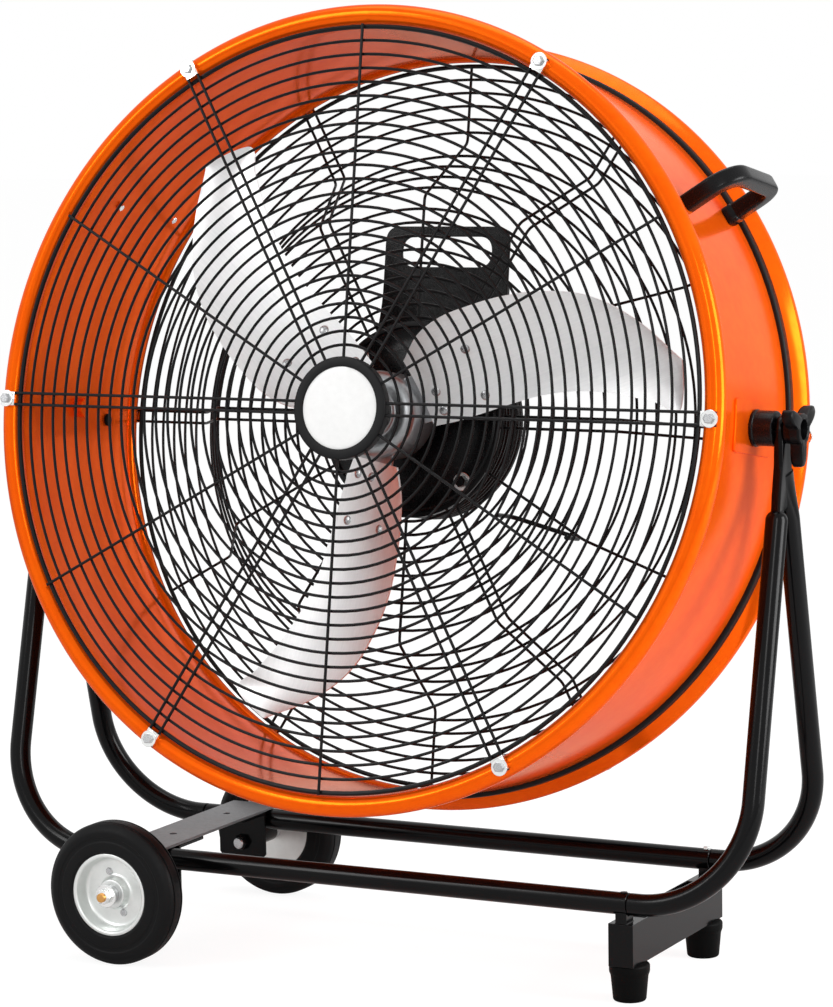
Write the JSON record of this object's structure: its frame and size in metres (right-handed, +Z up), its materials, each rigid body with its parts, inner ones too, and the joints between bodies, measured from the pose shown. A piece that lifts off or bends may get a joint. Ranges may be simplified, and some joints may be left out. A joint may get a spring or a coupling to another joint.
{
  "type": "drum fan",
  "caption": "Tilting drum fan on a two-wheeled tube stand, with wire guards, curved aluminium blades, a rear motor and carry handles.",
  "frame": {"origin": "on the floor, under the pivots that the drum tilts on, in the middle between the two wheels' outer axle ends and between the clamp knobs", "axes": "+Z up, the drum blows towards -Y, +X is to the right of someone who looks at the front guard"},
  "size_m": [0.7426, 0.34, 0.8177],
  "materials": {
    "orange_enamel": "gloss orange enamel",
    "black_enamel": "satin black powder coat",
    "black_trim": "satin black trim",
    "rubber": "matt black rubber",
    "tyre": "matt black tyre",
    "zinc_plate": "zinc plated steel",
    "bright_steel": "plain bright steel",
    "brass": "yellow passivated nut",
    "cast_aluminium": "dull cast aluminium",
    "sheet_aluminium": "rolled sheet aluminium",
    "white_plate": "blank white plate",
    "black_plastic": "moulded black plastic",
    "grey_plastic": "moulded grey nylon"
  },
  "bodies": {
    "stand": {"front_legs": "black_enamel", "rear_legs": "black_enamel", "base_rails": "black_enamel", "leg_heads": "black_enamel", "foot_bar": "black_enamel", "rubber_feet": "rubber", "rail_bolts": "zinc_plate", "wheel_strap": "black_enamel", "axle_hangers": "black_enamel", "axle": "bright_steel", "axle_spacers": "bright_steel", "axle_washers": "zinc_plate", "axle_nuts": "brass"},
    "drum": {"drum_shell": "orange_enamel", "rear_band": "black_trim", "front_guard_frame": "black_enamel", "front_guard_rings": "black_enamel", "centre_badge": "white_plate", "front_clips": "black_enamel", "front_clip_screws": "zinc_plate", "rear_guard_frame": "black_enamel", "rear_guard_rings": "black_enamel", "rear_clips": "black_enamel", "rear_clip_screws": "zinc_plate", "motor_housing": "black_enamel", "motor_rear_cap": "black_enamel", "motor_bearings": "bright_steel", "motor_bolts": "zinc_plate", "motor_bracket": "black_enamel", "control_box": "black_plastic", "speed_switch_stem": "grey_plastic", "cord_gland": "black_plastic", "cord_hook": "black_enamel", "carry_handles": "black_enamel", "handle_screws": "zinc_plate", "pivot_saddles": "orange_enamel", "pivot_spacers": "black_plastic", "pivot_studs": "zinc_plate"},
    "fan": {"fan_shaft": "bright_steel", "fan_hub": "cast_aluminium", "hub_nut": "zinc_plate", "fan_blade_a": "sheet_aluminium", "fan_blade_b": "sheet_aluminium", "fan_blade_c": "sheet_aluminium", "blade_rivets": "bright_steel"},
    "front_wheel": {"front_wheel_tyre": "tyre", "front_wheel_rim": "zinc_plate", "front_wheel_bush": "grey_plastic"},
    "rear_wheel": {"rear_wheel_tyre": "tyre", "rear_wheel_rim": "zinc_plate", "rear_wheel_bush": "grey_plastic"},
    "right_knob": {"right_clamp_knob": "black_plastic"},
    "left_knob": {"left_clamp_knob": "black_plastic"},
    "speed_dial": {"speed_knob": "black_plastic"}
  },
  "joints": [
    {"name": "drum_tilt", "type": "hinge", "parent": "stand", "child": "drum", "pos_m": [0, 0, 0.467], "axis": [1, 0, 0], "range_deg": [-80.85, 99.15]},
    {"name": "fan_spin", "type": "hinge", "parent": "drum", "child": "fan", "pos_m": [0, 0, 0.467], "axis": [0, 0.9873, -0.159], "continuous": true},
    {"name": "front_wheel_spin", "type": "hinge", "parent": "stand", "child": "front_wheel", "pos_m": [-0.207, -0.144, 0.0623], "axis": [0, 1, 0], "continuous": true},
    {"name": "rear_wheel_spin", "type": "hinge", "parent": "stand", "child": "rear_wheel", "pos_m": [-0.207, 0.144, 0.0623], "axis": [0, 1, 0], "continuous": true},
    {"name": "right_knob_turn", "type": "hinge", "parent": "drum", "child": "right_knob", "pos_m": [0.368, 0, 0.467], "axis": [1, 0, 0], "range_deg": [0, 360]},
    {"name": "left_knob_turn", "type": "hinge", "parent": "drum", "child": "left_knob", "pos_m": [-0.368, 0, 0.467], "axis": [-1, 0, 0], "range_deg": [0, 360]},
    {"name": "speed_dial_turn", "type": "hinge", "parent": "drum", "child": "speed_dial", "pos_m": [0, 0.13564, 0.54442], "axis": [0, -0.9873, 0.159], "range_deg": [0, 180]}
  ]
}
